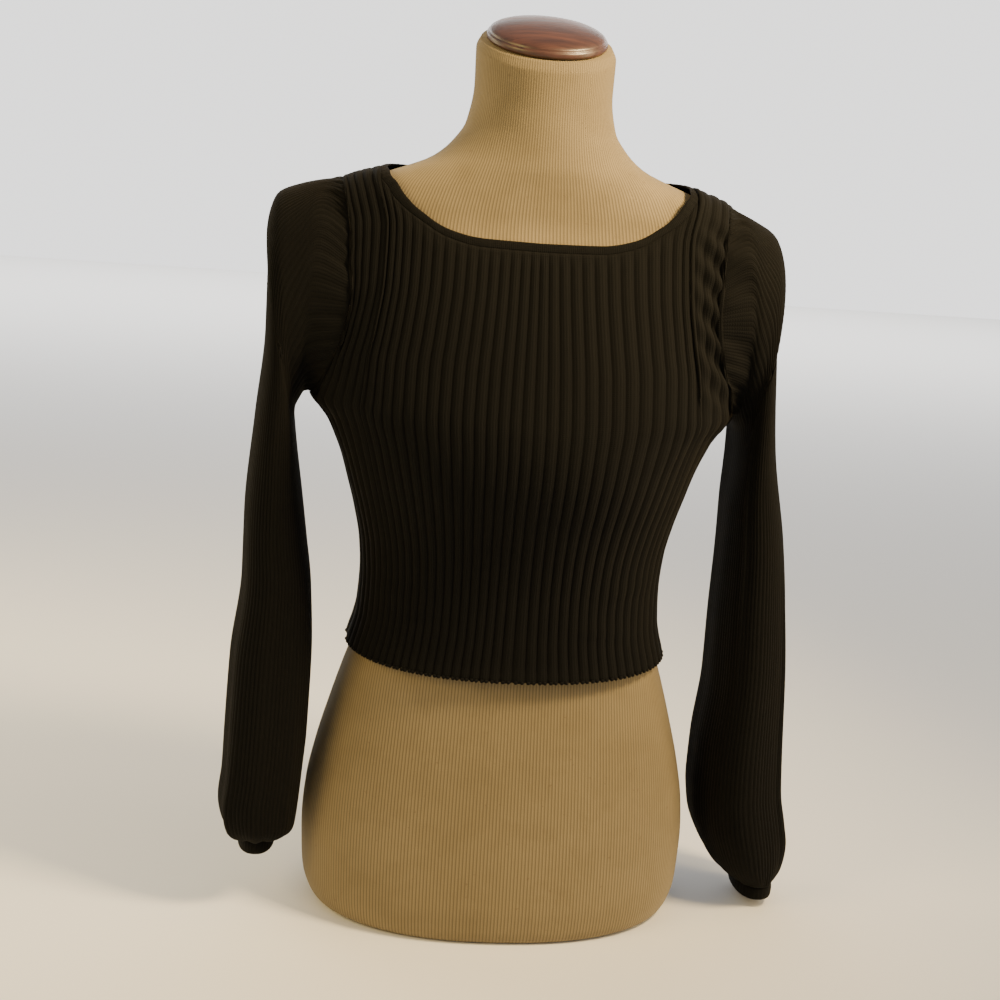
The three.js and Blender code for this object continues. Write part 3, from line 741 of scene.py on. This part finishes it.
def rib_knit(name, ground, warm, channel):
    """Matt black knit: plaited stitches along every rib, a haze of fibre and a little nap. The
    raised yarn of each stitch is painted lighter, a painted highlight, and the channels between
    the ribs are painted darker, a painted shade that keeps only a share of the crests' light."""
    finish, tree, shader, coords = new_finish(name)
    own = add_node(tree, "ShaderNodeSeparateXYZ", Vector=coords.outputs["UV"])
    wale = math_of(tree, "FRACT", own.outputs["X"])
    aside = math_of(tree, "ABSOLUTE", math_of(tree, "SUBTRACT", wale, 0.5))
    slant = math_of(tree, "ADD", own.outputs["Y"], math_of(tree, "MULTIPLY", aside, 1.3))
    yarn = math_of(tree, "SINE", math_of(tree, "MULTIPLY", slant, 2 * math.pi))
    squared = math_of(tree, "MULTIPLY", aside, aside)
    round_wale = math_of(tree, "SUBTRACT", 1, math_of(tree, "MULTIPLY", squared, 4))
    fuzz = noise_of(tree, coords.outputs["Object"], 1400, 3, 0.7)
    wander = noise_of(tree, coords.outputs["Object"], 16, 4, 0.6)
    shade = mix_of(tree, between(tree, wander, 0.3, 0.72, 0, 1), ground, warm)
    # painted highlight: the raised yarn of each stitch is drawn lighter than the rest
    painted_yarn_highlight = between(tree, yarn, -1, 1, 0.0, 0.35)
    shade = mix_of(tree, painted_yarn_highlight, shade, brighter(warm, 1.9))
    hair = between(tree, fuzz, 0.66, 0.8, 0, 0.35)
    shade = mix_of(tree, hair, shade, brighter(warm, 4.5))
    # painted shade: the channels between the ribs are drawn darker than the crests, down to the given
    # share
    place = math_of(tree, "MULTIPLY", own.outputs["X"], math.pi / WALES)
    crest = math_of(tree, "ABSOLUTE", math_of(tree, "SINE", place))
    shade = mix_of(tree, between(tree, crest, 0.1, 0.85, channel, 1), (0, 0, 0, 1), shade)
    tree.links.new(shade, shader.inputs["Base Color"])
    set_matt_yarn(shader, 0.88)
    relief = math_of(tree, "MULTIPLY", round_wale, between(tree, yarn, -1, 1, 0.45, 1))
    relief = math_of(tree, "ADD", relief, math_of(tree, "MULTIPLY", fuzz, 0.5))
    set_bump(tree, shader, relief, 0.0004, 0.8)
    return finish


def give_wall(piece, thickness):
    """The cloth's thickness, on its inner side."""
    wall = piece.modifiers.new("wall", "SOLIDIFY")
    wall.thickness = thickness * MM
    wall.offset = -1
    wall.use_even_offset = False


BLACK = (0.0008, 0.0009, 0.0010, 1)
WARM_BLACK = (0.0018, 0.0018, 0.0016, 1)
# the last number is the share of the crests' light painted into the channels, a painted shade
body_knit = rib_knit("rib_knit", BLACK, WARM_BLACK, 0.3)
front = knit_panel("front_panel", False, FRONT_CREASES, DRAWN_ASIDE, (0.7, 3.2))
back = knit_panel("back_panel", True, BACK_CREASES, 0, (1.0, 1.0))
for panel, node in [(front, "front"), (back, "back")]:
    give_wall(panel, PANEL_CLOTH)
    panel.data.materials.append(body_knit)
    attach(panel, WHOLE)
    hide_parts(node)

# The hem is finished with a tight picot edge, which draws the knit's end into small round
# loops. They are of the same yarn, two below every rib, all the way round.
PICOTS = 2  # below one rib
PICOT_WIDE = 1.75
PICOT_TALL = 1.6
PICOT_DEEP = 1.4
PICOT_INSET = 0.6
PICOT_LIFT = 0.4


def hem_picots():
    bm = bmesh.new()
    for panel in (front, back):
        mesh = panel.data
        for loop in range(BODY_RIBS * PICOTS):
            column = int((loop + 0.5) * RIB_COLUMNS / PICOTS)
            middle = mesh.vertices[column].co
            aside = mesh.vertices[column + 1].co
            turn = math.atan2(aside.y - middle.y, aside.x - middle.x)
            size = Matrix.Diagonal((PICOT_WIDE * MM, PICOT_DEEP * MM, PICOT_TALL * MM, 1))
            inward = Vector((math.sin(turn), -math.cos(turn), 0)) * (PICOT_INSET * MM)
            place = Matrix.Translation(middle - inward + Vector((0, 0, PICOT_LIFT * MM)))
            matrix = place @ Matrix.Rotation(turn, 4, "Z") @ size
            bmesh.ops.create_uvsphere(bm, u_segments=10, v_segments=6, radius=1, matrix=matrix)
    mesh = bpy.data.meshes.new("hem_picots")
    bm.to_mesh(mesh)
    bm.free()
    mesh.shade_smooth()
    piece = bpy.data.objects.new("hem_picots", mesh)
    bpy.context.scene.collection.objects.link(piece)
    return piece


def plain_yarn(name, ground, warm):
    """The same black yarn where it shows as small loops or as a plain tight knit. The
    raised middle of each loop is painted lighter, a painted highlight on its crown.
    """
    finish, tree, shader, coords = new_finish(name)
    cells = add_node(tree, "ShaderNodeTexVoronoi", Vector=coords.outputs["Object"], Scale=620)
    loops = cells.outputs["Distance"]
    fuzz = noise_of(tree, coords.outputs["Object"], 1500, 3, 0.7)
    shade = mix_of(tree, between(tree, fuzz, 0.35, 0.75, 0, 1), ground, warm)
    # painted highlight: the raised middle of each loop is drawn lighter
    shade = mix_of(tree, between(tree, loops, 0.1, 0.8, 0.4, 0), shade, brighter(warm, 2))
    tree.links.new(shade, shader.inputs["Base Color"])
    set_matt_yarn(shader, 0.86)
    relief = math_of(tree, "SUBTRACT", math_of(tree, "MULTIPLY", fuzz, 0.5), loops)
    set_bump(tree, shader, relief, 0.0003, 0.8)
    return finish


picots = hem_picots()
yarn_loops = plain_yarn("yarn_loops", BLACK, WARM_BLACK)
picots.data.materials.append(yarn_loops)
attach(picots, WHOLE)

# The neckband is a strip of the same yarn in a tighter plain knit, folded double over the
# neckline's edge and sewn on along a seam just below it.
BAND_COLUMNS = 360
BAND_CROWN = 0.7
BAND_STITCH = 1.6  # millimetres that one stitch takes round a band


def band_of_neck():
    """The band's section runs up its outside, over the fold and down its inside."""
    turn = np.linspace(-180, 180, BAND_COLUMNS + 1)
    # Share of the band's height, and distance out of the cloth's inside, in millimetres
    section = [
        (0.0, 0.15),
        (0.0, 0.75),
        (0.03, 1.3),
        (0.15, 1.75),
        (0.32, 1.98),
        (0.5, WALL + BAND_CROWN),
        (0.7, 1.95),
        (0.86, 1.72),
        (0.96, 1.3),
        (1.0, 0.75),
        (0.97, 0.2),
        (0.8, 0.0),
        (0.5, 0.0),
        (0.15, 0.0),
        (0.0, 0.15),
    ]
    edge, drop = neckline(np.abs(turn)).T
    share, away = np.array(section).T
    angle = np.broadcast_to(turn, (len(section), len(turn)))
    height = edge - drop * (1 - share[:, None])
    pull = 0.12 * np.sin(np.radians(turn) * 61) + 0.1 * np.sin(np.radians(turn) * 97 + 1)
    points = cloth_point(angle, height)
    lift = away[:, None] + pull * (away[:, None] > 1.5)
    points += cloth_normal(angle, height) * lift[..., None]
    round_way = lengths_along(points[5:6], 1)
    counts = np.stack(np.broadcast_arrays(round_way / BAND_STITCH, 5 * share[:, None]), axis=-1)
    return shaped_grid("neck_band", points, counts, welded=True)


band = band_of_neck()
# the last number is the share of the crests' light painted into the channels, a painted shade
band_knit = rib_knit("band_knit", BLACK, WARM_BLACK, 0.9)
band.data.materials.append(band_knit)
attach(band, WHOLE)
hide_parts("neckband")

# Each sleeve is a wide tube of the rib knit, set into its armhole with a puckered seam. It
# balloons on the way down and hangs in soft lengthwise folds that its end band gathers.
SLEEVE_SEAM = -0.4
SLEEVE_RIBS = 72
SLEEVE_RIB_HEIGHT = 0.7
SLEEVE_RIB_COLUMNS = 4
SLEEVE_ROWS = 140
SLEEVE_CLOTH = 1.15  # thickness between two ribs
SMALL_PUCKERS = 37  # round the armhole's seam
SMALL_PUCKER_RISE = 0.6
LARGE_PUCKERS = 14  # round the sleeve's head
END_GATHERS = 13  # round the sleeve's end
END_GATHER_RISE = 1.3
SLEEVE_SLANT = [42, 37, 27, 16, 8, 3]  # degrees that a rib starts higher, on the first rings

# Outer edge x, z, inner edge x, z, half the depth and the centre's y of each ring
RIGHT_SLEEVE_ROWS = [
    (175, 629.5, 189.5, 457, 64, 2),
    (190, 623, 192, 450, 64, 2),
    (208, 611.5, 196, 440, 62, 2),
    (214.5, 588, 196.5, 428, 60, 1),
    (211, 556, 196, 418, 59, 0),
    (214.5, 510, 195, 404, 58, 0),
    (222.5, 435, 192.5, 374, 56, 0),
    (239.5, 350, 192, 322, 53, 0),
    (247, 296, 191.5, 280, 52, 0),
    (254, 219, 192, 214, 52.5, 0),
    (258.5, 152, 187, 150, 54, 0),
    (261.5, 114, 186.5, 113, 55, 0),
    (268, 84, 189.5, 84, 54, 0),
    (272, 60, 198, 60, 51, 0),
    (272, 38, 211, 38, 44, 0),
    (266, 20, 234, 20, 34, 0),
]
LEFT_SLEEVE_ROWS = [
    (179, 632.5, 189.5, 457, 64, 2),
    (197, 628, 194, 450, 64, 2),
    (217, 618, 198, 440, 62, 0),
    (223.5, 590, 198.5, 428, 60, -2),
    (221.5, 556, 197, 418, 59, -4),
    (221.5, 510, 195, 405, 58, -6),
    (227.5, 437, 190, 376, 56, -10),
    (233.5, 352, 182.5, 328, 53, -15),
    (233.5, 300, 176.5, 288, 52, -18),
    (241, 228, 173, 225, 52.5, -21),
    (243.5, 162, 174, 161, 54, -24),
    (244.5, 124, 176.5, 124, 55, -25),
    (247, 96, 178.5, 96, 53, -25),
    (243, 76, 181, 76, 49, -25),
    (236, 67, 189, 67, 41, -25),
    (228, 63.5, 199, 63.5, 34, -25),
]

# Folds down a sleeve: degrees round from its outer edge over the front, ridge, half width in
# degrees, the rings where it begins, where it is full, how far it turns on the way down, and
# the ring by which it is gone
RIGHT_FOLD_ROWS = [
    (28, 2.4, 13, 5, 11, 6, 99),
    (64, -1.4, 14, 4, 10, 4, 99),
    (103, 1.8, 16, 4, 10, -5, 99),
    (148, -1.8, 15, 5, 11, 3, 99),
    (205, 3.5, 16, 4, 11, 5, 99),
    (248, -4, 16, 4, 10, -4, 99),
    (292, 4.5, 15, 4, 10, 5, 99),
    (332, -3.5, 13, 5, 11, -6, 99),
    (122, 2.4, 4, 3, 4, -6, 11),
    (46, 2.8, 4, 7, 9, -8, 99),
    (34, -2.2, 4, 10, 12, -6, 99),
]
LEFT_FOLD_ROWS = [
    (22, -2.2, 13, 4, 11, 5, 99),
    (52, 2.6, 14, 5, 11, -4, 99),
    (96, -2, 16, 4, 9, 5, 99),
    (140, 2.6, 15, 5, 12, 4, 99),
    (190, -3, 14, 6, 12, -5, 99),
    (232, 4, 16, 4, 11, 4, 99),
    (280, -4, 15, 4, 10, 5, 99),
    (325, 4, 14, 5, 11, -4, 99),
    (70, 2.2, 6, 9, 12, -22, 99),
    (118, 1.6, 7, 8, 11, 14, 99),
]


def unit(vectors):
    return vectors / np.linalg.norm(vectors, axis=-1, keepdims=True)


def armhole_edge(turn):
    """The armhole's edge by degrees from the shoulder tip over the front, and its way out."""
    over_back = turn > 180
    share = np.where(over_back, 360 - turn, turn) / 180
    front_angle, front_height = armhole(share, False)
    angle = np.where(over_back, 180 - front_angle, front_angle)
    return cloth_point(angle, front_height), cloth_normal(angle, front_height)


def sleeve_rings(rows, turn):
    """The inside of a sleeve, ring by ring, with the armhole's seam as its first ring. The
    ribs leave the seam slanting down, so each starts nearer the shoulder than it hangs."""
    outer_x, outer_z, inner_x, inner_z, half_depth, centre_y = np.array(rows, float).T[:, :, None]
    slant = np.concatenate([SLEEVE_SLANT, np.zeros(len(rows) + 1 - len(SLEEVE_SLANT))])[:, None]
    place = turn - slant * signed_power(np.sin(np.radians(turn)), 2)
    cos = signed_power(np.cos(np.radians(place[1:])), 2 / SECTION_POWER)
    sin = signed_power(np.sin(np.radians(place[1:])), 2 / SECTION_POWER)
    x = (outer_x + inner_x) / 2 + (outer_x - inner_x) / 2 * cos
    z = (outer_z + inner_z) / 2 + (outer_z - inner_z) / 2 * cos
    y = centre_y - half_depth * sin
    rings = np.stack([x, y, z], axis=-1)
    edge, out = armhole_edge(place[0])
    along = unit(np.roll(edge, -1, axis=0) - np.roll(edge, 1, axis=0))
    into = unit(np.cross(out, along))
    faces = unit(np.cross(along, rings[0] - edge))
    push = SLEEVE_SEAM + WALL * np.maximum(0, -(faces * into).sum(axis=-1))
    return np.concatenate([(edge + into * push[:, None])[None], rings])


def set_in_sleeve(name, rows, folds, puckers, mirrored):
    columns = SLEEVE_RIBS * SLEEVE_RIB_COLUMNS
    turn = np.arange(columns) * 360 / columns
    rings = sleeve_rings(rows, turn)
    ring_length = lengths_along(rings, 0).mean(axis=1)
    read = curve_through(np.column_stack([ring_length, rings.reshape(len(rings), -1)]))
    length = np.linspace(0, ring_length[-1], SLEEVE_ROWS + 1)
    points = read(length).reshape(len(length), columns, 3)
    ring = np.interp(length, ring_length, np.arange(len(rings)))[:, None]
    around = np.roll(points, -1, axis=1) - np.roll(points, 1, axis=1)
    down = np.gradient(points, axis=0)
    out = np.cross(around, down)
    out[-1, :, 2] = 0
    out = unit(out)
    last = len(rings) - 1
    lift = np.zeros((len(length), columns))
    for at, ridge, width, begins, full, twist, gone in folds:
        place = at + twist * (ring / last)
        apart = (turn - place + 180) % 360 - 180
        there = smoothstep(ring, begins + 1, full + 1) * (1 - smoothstep(ring, gone - 3, gone))
        lift += ridge * np.exp(-((apart / width) ** 2)) * there
    lift *= 1 - smoothstep(ring, last - 2.5, last)
    ribs = np.arange(columns) / SLEEVE_RIB_COLUMNS
    down_mm = length[:, None]
    from_end = ring_length[-1] - down_mm
    fade = (0.35 + 0.65 * smoothstep(down_mm, 0, 9)) * (0.45 + 0.55 * smoothstep(from_end, 0, 14))
    way_round = np.radians(turn)
    small = SMALL_PUCKER_RISE * np.sin(way_round * SMALL_PUCKERS + 0.8 * np.sin(way_round * 5))
    small = small * smoothstep(down_mm, 0, 3) * (1 - smoothstep(down_mm, 5, 20))
    large = np.sin(way_round * LARGE_PUCKERS + 0.6 * np.sin(way_round * 3) - down_mm / 11)
    large = puckers * large * smoothstep(down_mm, 1, 9) * (1 - smoothstep(down_mm, 16, 38))
    gather = np.sin(way_round * END_GATHERS + np.sin(way_round * 2)) * np.exp(-from_end / 14)
    gather = END_GATHER_RISE * gather * smoothstep(from_end, 0, 5)
    lift = lift + small + large * (0.35 + 0.65 * np.sin(way_round).clip(0)) + gather
    lift = lift + WALL + SLEEVE_RIB_HEIGHT * rib_profile(ribs)[None, :] * fade
    points = points + out * lift[..., None]
    points = np.concatenate([points, points[:, :1]], axis=1)
    ribs = np.append(ribs, SLEEVE_RIBS)
    counts = np.stack(np.broadcast_arrays(ribs[None, :] * WALES, down_mm / COURSE), axis=-1).copy()
    if mirrored:
        points = points[:, ::-1] * (-1, 1, 1)
        counts = counts[:, ::-1]
    return shaped_grid(name, points, counts, welded=True)


# the last number is the share of the crests' light painted into the channels, a painted shade
sleeve_knit = rib_knit("sleeve_knit", BLACK, WARM_BLACK, 0.55)
for name, node, rows, folds, puckers, mirrored in [
    ("right_sleeve", "sleeve_right", RIGHT_SLEEVE_ROWS, RIGHT_FOLD_ROWS, 1.3, False),
    ("left_sleeve", "sleeve_left", LEFT_SLEEVE_ROWS, LEFT_FOLD_ROWS, 1.0, True),
]:
    sleeve = set_in_sleeve(name, rows, folds, puckers, mirrored)
    give_wall(sleeve, SLEEVE_CLOTH)
    sleeve.data.materials.append(sleeve_knit)
    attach(sleeve, WHOLE)
    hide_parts(node)

# A narrow band of tight knit, sewn below the gathered end of each sleeve, draws it in.
CUFF_HEIGHT = 11.5
CUFF_WALL = 2
CUFF_COLUMNS = 180


def end_band(name, rows, mirrored):
    """The band's section runs down its outside and back up its inside."""
    outer_x, top, inner_x, _, half_depth, centre_y = rows[-1]
    # Share of the band's height from its top, and distance out of its inside, in millimetres
    section = np.array(
        [
            (0.0, 0.1),
            (0.0, 0.8),
            (0.05, 1.35),
            (0.2, 1.8),
            (0.5, CUFF_WALL),
            (0.8, 1.8),
            (0.95, 1.35),
            (1.0, 0.8),
            (1.0, 0.1),
            (0.9, 0.0),
            (0.5, 0.0),
            (0.1, 0.0),
            (0.0, 0.1),
        ]
    )
    share, away = section[:, 0][:, None], section[:, 1][:, None]
    turn = np.linspace(0, 360, CUFF_COLUMNS + 1)[None, :]
    away = away + 0.16 * np.sin(np.radians(turn) * 36) * (away > 1.2)
    cos = signed_power(np.cos(np.radians(turn)), 2 / SECTION_POWER)
    sin = signed_power(np.sin(np.radians(turn)), 2 / SECTION_POWER)
    x = (outer_x + inner_x) / 2 + ((outer_x - inner_x) / 2 + away) * cos
    y = centre_y - (half_depth + away) * sin
    z = top - SEAM - CUFF_HEIGHT * share
    points = np.stack(np.broadcast_arrays(x, y, z), axis=-1)
    round_way = lengths_along(points[4:5], 1)
    counts = np.stack(np.broadcast_arrays(round_way / BAND_STITCH, 7 * share), axis=-1).copy()
    if mirrored:
        points = points[:, ::-1] * (-1, 1, 1)
        counts = counts[:, ::-1]
    return shaped_grid(name, points, counts, welded=True)


for name, node, rows, mirrored, carrier in [
    ("right_end_band", "cuff_right", RIGHT_SLEEVE_ROWS, False, "right_sleeve"),
    ("left_end_band", "cuff_left", LEFT_SLEEVE_ROWS, True, "left_sleeve"),
]:
    cuff = end_band(name, rows, mirrored)
    cuff.data.materials.append(band_knit)
    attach(cuff, WHOLE)
    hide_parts(node)
